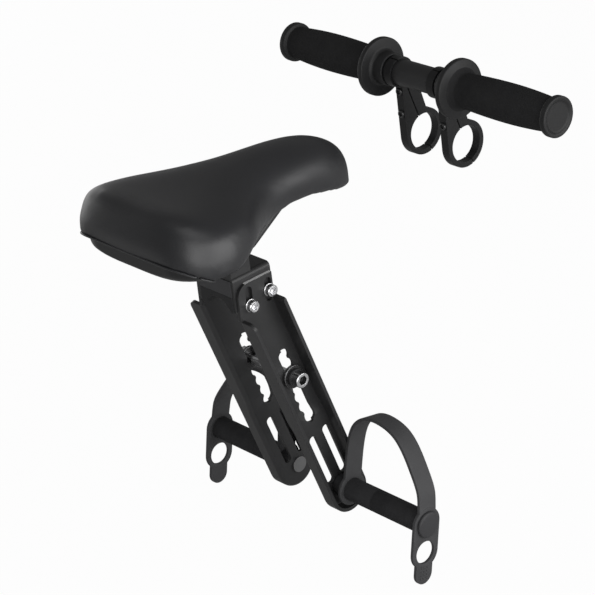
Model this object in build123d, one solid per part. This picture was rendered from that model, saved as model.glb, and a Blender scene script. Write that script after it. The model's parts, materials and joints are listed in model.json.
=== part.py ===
from build123d import *
import math
import os

# A front-mounted child seat for a bicycle's top tube, with its own small handlebar.
# X runs forward along the top tube, Y to the rider's left, Z up; millimetres.
# The origin is on the top tube's axis, under the middle of the bracket.

# Bicycle tubes that the set is clamped to.
TUBE_R = 17.5
BIKE_BAR_R = 15.9

# Folded steel bracket.
SHEET = 3.0
HALF_W = 22.5
BRACKET_REAR, BRACKET_FRONT = -18.0, 20.8
BRACKET_TOP = 39.0
BRACKET_FOOT = 4.0
BRACKET_CORNER = 9.0
BEND_R = 4.0
FIT = 0.1

# Rest that sits on the top tube.
REST_REAR, REST_FRONT = -18.6, 21.4
REST_SPLIT = 22.0
REST_FOOT = 8.0
REST_EDGE = 1.0
NUT_ROOM = 2.0

# Folded legs: lean, centre of the leg's own axes, width and depth of the channel.
LEAN = 17.0
LEG_X, LEG_Z = 22.1, -62.0
LEG_HALF = 18.9
LEG_END = -128.0
FLANGE = 17.0
FLANGE_TOP = 72.5
FLANGE_CORNERS = (6.0, 2.0)
FOLD_R = 4.0
JOG = 2.5
JOG_START, JOG_END = -38.0, -50.0
TAB_TOP, TAB_REAR, TAB_FRONT = 32.0, -16.8, 19.0
TAB_CORNER = 11.0

# Notched slot for the through bolt, long slots, and upright slots of the tab.
NOTCH_P, NOTCH_V = 2.6, -4.0
NOTCH_PITCH, NOTCH_R, NOTCH_HALF = 10.8, 6.2, 4.4
NOTCH_LOW, NOTCH_HIGH = -4, 2
LONG_SLOTS = (-5.8, 9.7)
LONG_TOP, LONG_LOW, LONG_W = -69.0, -114.5, 7.0
TAB_SLOTS = ((-6.0, 12.5), (14.0, 18.0))
TAB_SLOT_LOW, TAB_SLOT_HIGH, TAB_SLOT_W = 11.5, 25.0, 6.8

# Socket screws: shank radius, head radius, head height; the socket is a share of the head.
CAP4, CAP6, CAP8 = (2.0, 3.4, 3.6), (3.0, 4.9, 5.8), (4.0, 6.5, 8.0)
SOCKET_WIDE, SOCKET_DEEP, HEAD_EDGE = 0.55, 0.6, 0.6

# Hexagon bolt and nut: shank radius, half width across the flats, height.
HEX8 = (4.0, 6.5, 5.3)
BOLT_TAIL = 2.5
WASHER_R, WASHER_T = 10.0, 3.0
BUSH_R, BUSH_LEN = 7.2, 2.6

# Foot pegs and straps.
PEG_P, PEG_V = 1.5, -126.5
PEG_CORE_R, PEG_R = 7.0, 9.75
PEG_NECK_R, PEG_HEAD_T = 5.0, 2.0
PEG_OUT = 127.0
CAP_NECK_R, CAP_R, CAP_T, CAP_EDGE = 9.5, 11.25, 3.6, 1.7
STRAP_W, STRAP_T = 18.0, 2.8
STRAP_TILT = 12.0
STRAP_ROOT = 10.5
STRAP_LEAN = ((-0.06, 1.0), (-0.1, -1.0))
STRAP_ARCH = ((2.2, 43.6), (12.0, 65.8), (35.0, 71.5))
STRAP_FALL = ((28.0, 62.2), (9.5, 39.3))
EYE_R, ROOT_R, HOLE_R = 14.0, 14.0, 9.85
CLEAR = 0.2
FREE_HOLE = 25.0
STRAP_END = 53.0
TAB_W = 18.0

# Saddle stations: x, half width, middle height, rise above it and drop below it.
SADDLE = (
    (-93.0, 41.5, 86.5, 27.5, 11.5),
    (-89.5, 57.0, 87.5, 31.0, 15.5),
    (-82.0, 68.0, 88.5, 32.0, 18.5),
    (-64.0, 80.5, 90.5, 27.0, 20.5),
    (-30.0, 70.5, 93.0, 23.5, 21.5),
    (0.0, 46.0, 93.5, 26.0, 25.5),
    (16.0, 38.0, 93.0, 27.0, 22.0),
    (40.0, 33.5, 91.5, 28.3, 15.5),
    (80.0, 30.0, 87.0, 29.2, 15.0),
    (105.0, 25.5, 80.5, 28.0, 14.5),
    (115.5, 19.5, 77.0, 24.0, 12.0),
    (120.5, 10.5, 76.0, 15.0, 8.5),
)
# Roundness of the section above and below its middle, at the rear and the front; 1 is an ellipse.
ROUND_TOP, ROUND_LOW = (0.39, 0.77), (0.5, 0.68)
ROUND_BLEND = 1.5
RIM = 7.0
PLATE_T = 4.0
PLATE_TOP = ((-86.0, 80.0), (14.0, 78.0), (46.0, 84.0), (98.0, 76.0))
SEAM_REAR, SEAM_FRONT = (-96.0, 91.0), (-48.0, 60.0)
LIP = 0.8

# Saddle rails and their clamp.
RAIL_R, RAIL_Y, RAIL_Z = 3.5, 17.5, 56.5
RAIL_REAR, RAIL_FRONT, RAIL_BEND = (-74.0, -62.0), (8.0, 52.0), 12.0
CLAMP_REAR, CLAMP_FRONT, CLAMP_HALF = -19.0, 1.5, 22.5
CLAMP_CAP = 7.5
CLAMP_GAP = 0.6

# Small handlebar, its grips and the clamps on the bicycle's handlebar.
BAR_X, BAR_Z, BAR_R, BAR_BORE = 218.8, 119.9, 11.1, 9.3
BAR_HALF = 150.0
BIKE_X, BIKE_Z = 238.0, 60.0
GRIP_IN, GRIP_OUT = 31.0, 154.6
HUB_R, DISC_R, DISC_Y, DISC_T, DISC_EDGE = 14.0, 25.0, 43.0, 5.0, 1.5
BARREL_ROOT, BARREL_SWELL, BARREL_MID, BARREL_NECK = 19.5, 17.0, 15.9, 14.6
SWELL_AT, MID_AT, ROOT_AT = 5.0, 35.0, 1.5
END_R, END_T, END_DISH, END_RIM, END_EDGE = 16.9, 5.4, 1.2, 3.9, 1.3
JAW_IN, JAW_OUT = 20.5, 28.5
LOOP_WALL, RING_WALL = 2.1, 4.5
JAW_GAP = 1.0
SCREW_UP = (42.0, 22.0)
SCREW_SINK, SCREW_BITE = 2.0, 8.5

# Cutters reach past what they cut by this much.
MARGIN = 5.0


def rod(axis, r, a, b, at):
    """Cylinder along an axis from a to b, at the two other coordinates."""
    mid, size = (a + b) / 2, abs(b - a)
    if axis == "x":
        return Pos(mid, at[0], at[1]) * Rot(0, 90, 0) * Cylinder(r, size)
    if axis == "y":
        return Pos(at[0], mid, at[1]) * Rot(90, 0, 0) * Cylinder(r, size)
    return Pos(at[0], at[1], mid) * Cylinder(r, size)


def block(x, y, z):
    """Box from its three ranges."""
    size = [b - a for a, b in (x, y, z)]
    return Pos(sum(x) / 2, sum(y) / 2, sum(z) / 2) * Box(*size)


def hexagon(half, a, b):
    """Hexagon prism along Z from a to b, half width across the flats given."""
    return Pos(0, 0, a) * extrude(RegularPolygon(half, 6, major_radius=False), b - a)


def along_y(shape, x, z, y, out):
    """Shape built along Z from zero, set on a face at y so that it points out (1 left, -1 right)."""
    return Pos(x, y, z) * Rot(-90 * out, 0, 0) * shape


def bolt(kind, grip):
    """Hexagon bolt: underside of the head at zero, head above, shank below."""
    r, half, high = kind
    corner = half / math.cos(math.radians(30))
    crown = Cone(corner + high, half, high, align=(Align.CENTER, Align.CENTER, Align.MIN))
    return (hexagon(half, 0, high) & crown) + Pos(0, 0, -grip / 2) * Cylinder(r, grip)


def nut(kind):
    """Hexagon nut standing on zero."""
    r, half, high = kind
    return hexagon(half, 0, high) - Cylinder(r, 4 * high)


def socket_screw(kind, grip):
    """Round head with a hexagon socket: underside of the head at zero, head above, shank below."""
    r, head, high = kind
    part = Pos(0, 0, high / 2) * Cylinder(head, high)
    part = chamfer(part.edges().sort_by(Axis.Z)[-1], HEAD_EDGE)
    part += Pos(0, 0, -grip / 2) * Cylinder(r, grip)
    return part - hexagon(SOCKET_WIDE * head, (1 - SOCKET_DEEP) * high, high + MARGIN)


def left(shape):
    """The same piece on the rider's left."""
    return mirror(shape, about=Plane.XZ)


def side_plane(y=0.0):
    """Plane seen from the right: local x forward, local y up, extruded outward."""
    return Plane(origin=(0, y, 0), x_dir=(1, 0, 0), z_dir=(0, -1, 0))


COS, SIN = math.cos(math.radians(LEAN)), math.sin(math.radians(LEAN))


def leg_plane():
    """Plane of the right leg's inner face: local x across the leg, local y up along it."""
    return Plane(origin=(LEG_X, -HALF_W, LEG_Z), x_dir=(COS, 0, SIN), z_dir=(0, -1, 0))


def to_leg(x, z):
    """A point of the side view in the leg's own axes."""
    dx, dz = x - LEG_X, z - LEG_Z
    return (dx * COS + dz * SIN, -dx * SIN + dz * COS)


def from_leg(p, v):
    """A point of the leg's own axes in the side view."""
    return (LEG_X + p * COS - v * SIN, LEG_Z + p * SIN + v * COS)


BOLT_X, BOLT_Z = from_leg(NOTCH_P, NOTCH_V)
PEG_X, PEG_Z = from_leg(PEG_P, PEG_V)
WEB_OUT = HALF_W + SHEET
LOW_OUT = WEB_OUT + JOG
LOW_IN = HALF_W + JOG
FLANGE_OUT = HALF_W + FLANGE
CLAMP_X = (CLAMP_REAR + CLAMP_FRONT) / 2
WIDEST = max(half for _, half, *_ in SADDLE) + MARGIN
HIGHEST = max(mid + rise for _, _, mid, rise, _ in SADDLE) + MARGIN
LOOP_OUT = BAR_R + LOOP_WALL
RING_OUT = BIKE_BAR_R + RING_WALL
JAW_REAR = BIKE_X - RING_OUT
SCREW_SEAT = JAW_REAR + SCREW_SINK


def seat_bracket():
    fold = Polyline((-HALF_W, 0), (-HALF_W, BRACKET_TOP), (HALF_W, BRACKET_TOP), (HALF_W, 0), close=True)
    outer = make_face(fold)
    outer = fillet(outer.vertices().sort_by(Axis.Y)[-2:], BEND_R)
    inner = Pos(0, (BRACKET_TOP - SHEET) / 2) * Rectangle(2 * (HALF_W - SHEET), BRACKET_TOP - SHEET)
    inner = fillet(inner.vertices().sort_by(Axis.Y)[-2:], BEND_R - SHEET)
    size = BRACKET_FRONT - BRACKET_REAR
    channel = Pos(BRACKET_REAR, 0, 0) * extrude(Plane.YZ * (outer - inner), size)
    mid = (BRACKET_TOP + BRACKET_FOOT) / 2
    view = Pos(BRACKET_REAR + size / 2, mid) * Rectangle(size, BRACKET_TOP - BRACKET_FOOT)
    view = fillet(view.vertices().sort_by(Axis.Y)[:2], BRACKET_CORNER)
    part = channel & extrude(side_plane() * view, HALF_W + MARGIN, both=True)
    for x, z in TAB_SLOTS:
        part -= rod("y", CAP6[0] + FIT, -HALF_W - MARGIN, HALF_W + MARGIN, (x, z))
    return part - rod("z", HEX8[0] + FIT, BRACKET_TOP - SHEET - MARGIN, BRACKET_TOP + MARGIN, (CLAMP_X, 0))


def rest_body(low, high):
    """Block between the bracket's walls, between two heights."""
    wide = HALF_W - SHEET
    return block((REST_REAR, REST_FRONT), (-wide, wide), (low, high))


def rest_block():
    part = rest_body(REST_SPLIT, BRACKET_TOP - SHEET)
    part = fillet(part.edges().filter_by(Axis.X).group_by(Axis.Z)[-1], REST_EDGE)
    return part - rod("z", HEX8[1] + NUT_ROOM, REST_SPLIT - MARGIN, BRACKET_TOP, (CLAMP_X, 0))


def rest_pad():
    part = rest_body(REST_FOOT, REST_SPLIT)
    part = fillet(part.edges().filter_by(Axis.X).group_by(Axis.Z)[0], REST_EDGE)
    return part - rod("x", TUBE_R, REST_REAR - MARGIN, REST_FRONT + MARGIN, (0, 0))


def leg_outline():
    """Outline of the flat web with its upright tab, in the leg's own axes."""
    rear = to_leg(TAB_REAR, TAB_TOP - TAB_CORNER)
    top = to_leg(TAB_REAR + TAB_CORNER, TAB_TOP)
    bow = TAB_CORNER * (1 - math.sqrt(0.5))
    bend = to_leg(TAB_REAR + bow, TAB_TOP - bow)
    front = to_leg(TAB_FRONT, TAB_TOP)
    knee = (LEG_HALF, front[1] - (front[0] - LEG_HALF) / SIN * COS)
    lines = [
        Line((-LEG_HALF, LEG_END), (-LEG_HALF, FLANGE_TOP)),
        Line((-LEG_HALF, FLANGE_TOP), rear),
        ThreePointArc(rear, bend, top),
        Line(top, front),
        Line(front, knee),
        Line(knee, (LEG_HALF, LEG_END)),
        ThreePointArc((LEG_HALF, LEG_END), (0, LEG_END - LEG_HALF), (-LEG_HALF, LEG_END)),
    ]
    return make_face(lines)


def strip(half):
    """Leg strip with a round lower end, for the flange ring."""
    body = Pos(0, (LEG_END + FLANGE_TOP) / 2) * Rectangle(2 * half, FLANGE_TOP - LEG_END)
    return body + Pos(0, LEG_END) * Circle(half)


def across_leg(v=0.0, depth=0.0):
    """Plane across the leg at a height and a depth: local x across it, local y outward."""
    base = leg_plane()
    origin = base.origin + base.y_dir * v + base.z_dir * depth
    return Plane(origin=origin, x_dir=base.x_dir, z_dir=-base.y_dir)


def along_leg():
    """Plane along the middle of the leg: local x outward, local y up along it."""
    base = leg_plane()
    return Plane(origin=base.origin, x_dir=base.z_dir, z_dir=-base.x_dir)


def leg_section(depths):
    """Solid across the leg whose side view steps out at the joggle, between two depths."""
    a, b = depths
    low, high = LEG_END - LEG_HALF - MARGIN, to_leg(TAB_REAR, TAB_TOP)[1] + MARGIN
    wide = to_leg(TAB_FRONT, TAB_TOP)[0] + MARGIN
    view = Polyline(
        (a, high), (a, JOG_START), (a + JOG, JOG_END), (a + JOG, low),
        (b[1], low), (b[1], JOG_END), (b[0], JOG_START), (b[0], high), close=True)
    return extrude(along_leg() * make_face(view), wide, both=True)


def fold_waste(side):
    """Waste outside the rounded fold along one straight edge of the leg, side -1 rear or 1 front."""
    base = leg_plane()
    corner = Pos(side * LEG_HALF, 0) * Rectangle(2 * FOLD_R, 2 * FOLD_R)
    corner -= Pos(side * (LEG_HALF - FOLD_R), FOLD_R) * Circle(FOLD_R)
    waste = extrude(across_leg(JOG_START) * corner, FLANGE_TOP - JOG_START, dir=base.y_dir)
    slant = base.y_dir * (JOG_START - JOG_END) - base.z_dir * JOG
    waste += extrude(across_leg(JOG_END, JOG) * corner, slant.length, dir=slant.normalized())
    return waste + extrude(across_leg(LEG_END, JOG) * corner, JOG_END - LEG_END, dir=base.y_dir)


def end_waste():
    """Waste outside the rounded fold along the leg's round lower end."""
    base = leg_plane()
    corner = Pos(LEG_HALF, 0) * Rectangle(2 * FOLD_R, 2 * FOLD_R)
    corner -= Pos(LEG_HALF - FOLD_R, FOLD_R) * Circle(FOLD_R)
    plane = across_leg(LEG_END, JOG)
    return revolve(plane * corner, Axis(plane.origin, -base.z_dir), 180)


def notched_slot():
    """Straight slot with round notches, on its rear side below the bolt and its front side above."""
    low = NOTCH_V + NOTCH_LOW * NOTCH_PITCH
    high = NOTCH_V + NOTCH_HIGH * NOTCH_PITCH
    slot = Pos(0, (low + high) / 2) * Rot(0, 0, 90) * SlotCenterToCenter(high - low, 2 * NOTCH_HALF)
    for k in range(NOTCH_LOW, NOTCH_HIGH + 1):
        side = 1 if k > 0 else -1
        half = Pos(side * NOTCH_R, 0) * Rectangle(2 * NOTCH_R, 2 * NOTCH_R)
        slot += Pos(0, NOTCH_V + k * NOTCH_PITCH) * (Circle(NOTCH_R) & half)
    return Pos(NOTCH_P, 0) * slot


def flange_corner(radius, side):
    """Waste outside a rounded top corner of one flange, side -1 rear or 1 front."""
    square = Pos(FLANGE, FLANGE_TOP) * Rectangle(2 * radius, 2 * radius)
    waste = square - Pos(FLANGE - radius, FLANGE_TOP - radius) * Circle(radius)
    return extrude(along_leg() * waste, LEG_HALF + MARGIN, dir=leg_plane().x_dir * side)


def leg_right():
    plane = leg_plane()
    web = leg_section((0, (SHEET, SHEET + JOG))) & extrude(plane * leg_outline(), FLANGE + MARGIN)
    ring = extrude(plane * (strip(LEG_HALF) - strip(LEG_HALF - SHEET)), FLANGE)
    ring &= leg_section((0, (FLANGE, FLANGE)))
    part = web + ring - end_waste()
    for radius, side in zip(FLANGE_CORNERS, (-1, 1)):
        part -= flange_corner(radius, side)
        part -= fold_waste(side)
    cuts = notched_slot()
    mid = (LONG_TOP + LONG_LOW) / 2
    for p in LONG_SLOTS:
        cuts += Pos(p, mid) * Rot(0, 0, 90) * SlotCenterToCenter(LONG_TOP - LONG_LOW, LONG_W)
    cuts += Pos(PEG_P, PEG_V) * Circle(PEG_NECK_R + FIT)
    part -= extrude(plane * cuts, FLANGE, both=True)
    slots = Sketch()
    mid = (TAB_SLOT_LOW + TAB_SLOT_HIGH) / 2
    for x, _ in TAB_SLOTS:
        slots += Pos(x, mid) * Rot(0, 0, 90) * SlotCenterToCenter(TAB_SLOT_HIGH - TAB_SLOT_LOW, TAB_SLOT_W)
    return part - extrude(side_plane(-HALF_W) * slots, FLANGE, both=True)


def leg_bolts():
    grip = WEB_OUT - HALF_W + SHEET
    right = [along_y(socket_screw(CAP6, grip), x, z, -WEB_OUT, -1) for x, z in TAB_SLOTS]
    return Compound(children=right + [left(b) for b in right])


def through_bolt():
    seat = WEB_OUT + WASHER_T + BUSH_LEN
    return along_y(socket_screw(CAP8, 2 * seat + HEX8[2] + BOLT_TAIL), BOLT_X, BOLT_Z, -seat, -1)


def through_nut():
    return along_y(nut(HEX8), BOLT_X, BOLT_Z, WEB_OUT + WASHER_T + BUSH_LEN, 1)


def through_rings(r, a, b):
    """A ring on the through bolt outside each leg, between two distances from the web."""
    ring = Cylinder(r, b - a) - Cylinder(CAP8[0] + FIT, 2 * b)
    one = along_y(Pos(0, 0, (a + b) / 2) * ring, BOLT_X, BOLT_Z, -WEB_OUT, -1)
    return Compound(children=[one, left(one)])


def peg_core_right():
    at = (PEG_X, PEG_Z)
    part = rod("y", PEG_CORE_R, -LOW_OUT, -PEG_OUT, at)
    part += rod("y", PEG_NECK_R, -LOW_IN, -LOW_OUT, at)
    return part + rod("y", PEG_CORE_R, -LOW_IN + PEG_HEAD_T, -LOW_IN, at)


def peg_sleeve_right():
    at = (PEG_X, PEG_Z)
    part = rod("y", PEG_R, -LOW_OUT, -PEG_OUT, at)
    return part - rod("y", PEG_CORE_R, 0, -PEG_OUT - MARGIN, at)


def peg_cap_right():
    neck = STRAP_T + CLEAR
    disc = Pos(0, 0, neck + CAP_T / 2) * Cylinder(CAP_R, CAP_T)
    disc = chamfer(disc.edges().sort_by(Axis.Z)[-1], CAP_EDGE)
    cap = Pos(0, 0, neck / 2) * Cylinder(CAP_NECK_R, neck) + disc
    return along_y(cap, PEG_X, PEG_Z, -PEG_OUT, -1)


def strap_band():
    """Band that arches from the root ring out to the eye on the peg's cap, upright at the peg."""
    start = FLANGE_OUT + STRAP_T / 2
    end = PEG_OUT + CLEAR + STRAP_T / 2
    rise = [(-start - out, z) for out, z in STRAP_ARCH]
    fall = [(-end + back, z) for back, z in STRAP_FALL]
    path = Spline(
        (-start - CLEAR, STRAP_ROOT), *rise, *fall, (-end + CLEAR, STRAP_ROOT), tangents=STRAP_LEAN)
    half = STRAP_T / 2
    outer, inner = [], []
    steps = 10
    for k in range(steps + 1):
        point, along = path @ (k / steps), path % (k / steps)
        normal = Vector(-along.Y, along.X)
        outer.append(point + normal * half)
        inner.append(point - normal * half)
    lines = [Spline(*outer, tangents=STRAP_LEAN), Spline(*inner, tangents=STRAP_LEAN)]
    lines += [Line(outer[0], inner[0]), Line(outer[-1], inner[-1])]
    return extrude(Plane.YZ * make_face(lines), STRAP_W / 2, both=True)


def strap_right():
    root = extrude(side_plane(-FLANGE_OUT) * Circle(ROOT_R), STRAP_T)
    low = Circle(EYE_R) + Pos(0, -FREE_HOLE) * Circle(EYE_R)
    low += Pos(0, -FREE_HOLE / 2) * Rectangle(2 * EYE_R, FREE_HOLE)
    reach = STRAP_END - FREE_HOLE - TAB_W / 2
    low += Pos(0, -FREE_HOLE - reach / 2) * Rectangle(TAB_W, reach)
    low += Pos(0, -FREE_HOLE - reach) * Circle(TAB_W / 2)
    low -= Pos(0, -FREE_HOLE) * Circle(HOLE_R)
    low = extrude(side_plane(-PEG_OUT - CLEAR) * low, STRAP_T)
    part = root + low + strap_band()
    part -= rod("y", HOLE_R, -FLANGE_OUT + MARGIN, -FLANGE_OUT - STRAP_T - CLEAR, (0, 0))
    part -= rod("y", HOLE_R, -PEG_OUT, -PEG_OUT - STRAP_T - MARGIN, (0, 0))
    return Pos(PEG_X, 0, PEG_Z) * Rot(0, STRAP_TILT, 0) * part


def saddle_body(inset):
    """Saddle volume lofted through its stations, drawn in by an inset."""
    faces = []
    count = 16
    first, last = SADDLE[0][0], SADDLE[-1][0]
    for x, wide, mid, rise, drop in SADDLE:
        points = []
        forward = min(1, ROUND_BLEND * (x - first) / (last - first))
        top = ROUND_TOP[0] + (ROUND_TOP[1] - ROUND_TOP[0]) * forward
        low = ROUND_LOW[0] + (ROUND_LOW[1] - ROUND_LOW[0]) * forward
        for k in range(count):
            c = math.cos(2 * math.pi * k / count)
            s = math.sin(2 * math.pi * k / count)
            power = top if s > 0.01 else low
            y = (wide - inset) * math.copysign(abs(c) ** power, c)
            z = (rise if s > 0 else drop) - inset
            points.append((x, y, mid + z * math.copysign(abs(s) ** power, s)))
        faces.append(Face(Wire(Spline(*points, periodic=True))))
    return loft(faces)


def under(profile, drop=0.0):
    """Volume below a broken line of the side view, across the saddle."""
    points = [(x, z - drop) for x, z in profile]
    lines = Polyline(*points, (points[-1][0], BRACKET_TOP), (points[0][0], BRACKET_TOP), close=True)
    return extrude(side_plane() * make_face(lines), WIDEST, both=True)


def saddle_pocket():
    """Upright volume inside the saddle's rim, where the base plate goes."""
    front = [(x, wide - RIM) for x, wide, *_ in SADDLE[1:-2]]
    lines = Polyline(*front, *[(x, -y) for x, y in reversed(front)], close=True)
    return extrude(make_face(lines), HIGHEST)


def rear_panel():
    """Volume behind and below the cover's rear seam."""
    return under((SEAM_REAR, SEAM_FRONT))


def saddle_cover():
    return saddle_body(0) - rear_panel() - (saddle_pocket() & under(PLATE_TOP))


def saddle_base():
    pocket = saddle_pocket()
    plate = (pocket & under(PLATE_TOP)) - under(PLATE_TOP, PLATE_T)
    panel = (saddle_body(LIP) & rear_panel()) - (pocket & under(PLATE_TOP, PLATE_T))
    return (plate & saddle_body(LIP)) + panel


def saddle_rails(base):
    top = PLATE_TOP[0][1]
    nose = PLATE_TOP[2][1]
    path = FilletPolyline(
        (RAIL_REAR[0], RAIL_Y, top), (RAIL_REAR[1], RAIL_Y, RAIL_Z), (RAIL_FRONT[0], RAIL_Y, RAIL_Z),
        (RAIL_FRONT[1], RAIL_Y, nose), radius=RAIL_BEND)
    wire = sweep(Plane(origin=path @ 0, z_dir=path % 0) * Circle(RAIL_R), path)
    wire = (wire - base).solids().sort_by(SortBy.VOLUME)[-1]
    return Compound(children=[wire, left(wire)])


def rail_clamp(low, high):
    part = block((CLAMP_REAR, CLAMP_FRONT), (-CLAMP_HALF, CLAMP_HALF), (low, high))
    for y in (-RAIL_Y, RAIL_Y):
        part -= rod("x", RAIL_R, CLAMP_REAR - MARGIN, CLAMP_FRONT + MARGIN, (y, RAIL_Z))
    return part - rod("z", HEX8[0] + FIT, low - MARGIN, high + MARGIN, (CLAMP_X, 0))


def rail_clamp_bolt():
    grip = RAIL_Z + CLAMP_CAP - BRACKET_TOP + SHEET
    return Pos(CLAMP_X, 0, RAIL_Z + CLAMP_CAP) * bolt(HEX8, grip + HEX8[2] + BOLT_TAIL)


def rail_clamp_nut():
    return Pos(CLAMP_X, 0, BRACKET_TOP - SHEET - HEX8[2]) * nut(HEX8)


def bar_tube():
    at = (BAR_X, BAR_Z)
    reach = BAR_HALF + MARGIN
    return rod("y", BAR_R, -BAR_HALF, BAR_HALF, at) - rod("y", BAR_BORE, -reach, reach, at)


def grip_right():
    """Grip turned about the bar: hub, finger disc, barrel that swells inward, dished end flange."""
    rim = DISC_Y + DISC_T
    end = GRIP_OUT - END_T
    out = [
        (GRIP_IN, BAR_R), (GRIP_IN, HUB_R), (DISC_Y - DISC_EDGE, HUB_R), (DISC_Y, HUB_R + DISC_EDGE),
        (DISC_Y, DISC_R - DISC_EDGE), (DISC_Y + DISC_EDGE, DISC_R), (rim - DISC_EDGE, DISC_R),
        (rim, DISC_R - DISC_EDGE), (rim + ROOT_AT, BARREL_ROOT), (rim + SWELL_AT, BARREL_SWELL),
        (rim + MID_AT, BARREL_MID), (end - END_EDGE, BARREL_NECK), (end, END_R),
        (GRIP_OUT - END_EDGE, END_R), (GRIP_OUT, END_R - END_EDGE), (GRIP_OUT, END_R - END_RIM),
        (GRIP_OUT - END_DISH, END_R - END_RIM - END_EDGE), (GRIP_OUT - END_DISH, 0), (BAR_HALF, 0),
        (BAR_HALF, BAR_R),
    ]
    face = make_face(Polyline(*[(BAR_X + r, -y) for y, r in out], close=True))
    turned = revolve(face, Axis((BAR_X, 0, 0), (0, 1, 0)))
    return Pos(0, 0, BAR_Z) * turned


def jaw_outline():
    """Side view of the whole clamp: loop on the small bar, waist, ring on the bicycle's bar."""
    waist = Polyline(
        (JAW_REAR, BIKE_Z), (JAW_REAR, BAR_Z), (BAR_X + LOOP_OUT, BAR_Z),
        (BIKE_X + RING_WALL, BIKE_Z + RING_OUT - JAW_GAP / 2), (BIKE_X, BIKE_Z), close=True)
    whole = make_face(waist)
    whole += Pos(BAR_X, BAR_Z) * Circle(LOOP_OUT)
    whole += Pos(BIKE_X, BIKE_Z) * Circle(RING_OUT)
    whole -= Pos(BAR_X, BAR_Z) * Circle(BAR_R)
    return whole - Pos(BIKE_X, BIKE_Z) * Circle(BIKE_BAR_R)


def parting(z):
    """Place of the clamp's parting line, through both bores, at a height."""
    return BAR_X + (BAR_Z - z) * (BIKE_X - BAR_X) / (BAR_Z - BIKE_Z)


def jaw_right(front):
    """Rear or front half of the right clamp, parted on the line through both bores."""
    part = extrude(side_plane(-JAW_IN) * jaw_outline(), JAW_OUT - JAW_IN)
    tilt = math.degrees(math.atan2(BIKE_X - BAR_X, BAR_Z - BIKE_Z))
    side = 1 if front else -1
    reach = 2 * (BAR_Z - BIKE_Z)
    keep = Pos(side * (reach + JAW_GAP) / 2, 0) * Rectangle(reach, 2 * reach)
    keep = Pos((BAR_X + BIKE_X) / 2, (BAR_Z + BIKE_Z) / 2) * Rot(0, 0, tilt) * keep
    part &= extrude(side_plane() * keep, JAW_OUT + MARGIN, both=True)
    mid = -(JAW_IN + JAW_OUT) / 2
    for up in SCREW_UP:
        z = BIKE_Z + up
        part -= rod("x", CAP4[0] + FIT, JAW_REAR - MARGIN, parting(z) + SCREW_BITE, (mid, z))
        part -= rod("x", CAP4[1] + FIT, JAW_REAR - MARGIN, SCREW_SEAT, (mid, z))
    return part


def clamp_screws():
    """Four socket screws, heads to the rear."""
    mid = -(JAW_IN + JAW_OUT) / 2
    screws = []
    for up in SCREW_UP:
        z = BIKE_Z + up
        screw = socket_screw(CAP4, parting(z) + SCREW_BITE - SCREW_SEAT)
        screw = Pos(SCREW_SEAT, mid, z) * Rot(0, -90, 0) * screw
        screws += [screw, left(screw)]
    return Compound(children=screws)


def main():
    os.makedirs("parts", exist_ok=True)
    base = saddle_base()
    leg, core, sleeve = leg_right(), peg_core_right(), peg_sleeve_right()
    cap, strap, grip = peg_cap_right(), strap_right(), grip_right()
    rear, front = jaw_right(False), jaw_right(True)
    pieces = {
        "saddle_cover": saddle_cover(),
        "saddle_base": base,
        "saddle_rails": saddle_rails(base),
        "rail_clamp_lower": rail_clamp(BRACKET_TOP, RAIL_Z - CLAMP_GAP / 2),
        "rail_clamp_upper": rail_clamp(RAIL_Z + CLAMP_GAP / 2, RAIL_Z + CLAMP_CAP),
        "rail_clamp_bolt": rail_clamp_bolt(),
        "rail_clamp_nut": rail_clamp_nut(),
        "seat_bracket": seat_bracket(),
        "rest_block": rest_block(),
        "rest_pad": rest_pad(),
        "leg_right": leg,
        "leg_left": left(leg),
        "leg_bolts": leg_bolts(),
        "through_bolt": through_bolt(),
        "through_nut": through_nut(),
        "through_washers": through_rings(WASHER_R, 0, WASHER_T),
        "through_bushes": through_rings(BUSH_R, WASHER_T, WASHER_T + BUSH_LEN),
        "peg_core_right": core,
        "peg_core_left": left(core),
        "peg_sleeve_right": sleeve,
        "peg_sleeve_left": left(sleeve),
        "peg_cap_right": cap,
        "peg_cap_left": left(cap),
        "strap_right": strap,
        "strap_left": left(strap),
        "bar_tube": bar_tube(),
        "grip_right": grip,
        "grip_left": left(grip),
        "clamp_rear_right": rear,
        "clamp_rear_left": left(rear),
        "clamp_front_right": front,
        "clamp_front_left": left(front),
        "clamp_screws": clamp_screws(),
    }
    for name, shape in pieces.items():
        export_step(shape, f"parts/{name}.step")


main()
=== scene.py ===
import json
import math

import bmesh
import bpy
from bpy.props import FloatProperty, FloatVectorProperty, IntProperty, PointerProperty
from mathutils import Matrix, Vector


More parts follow.
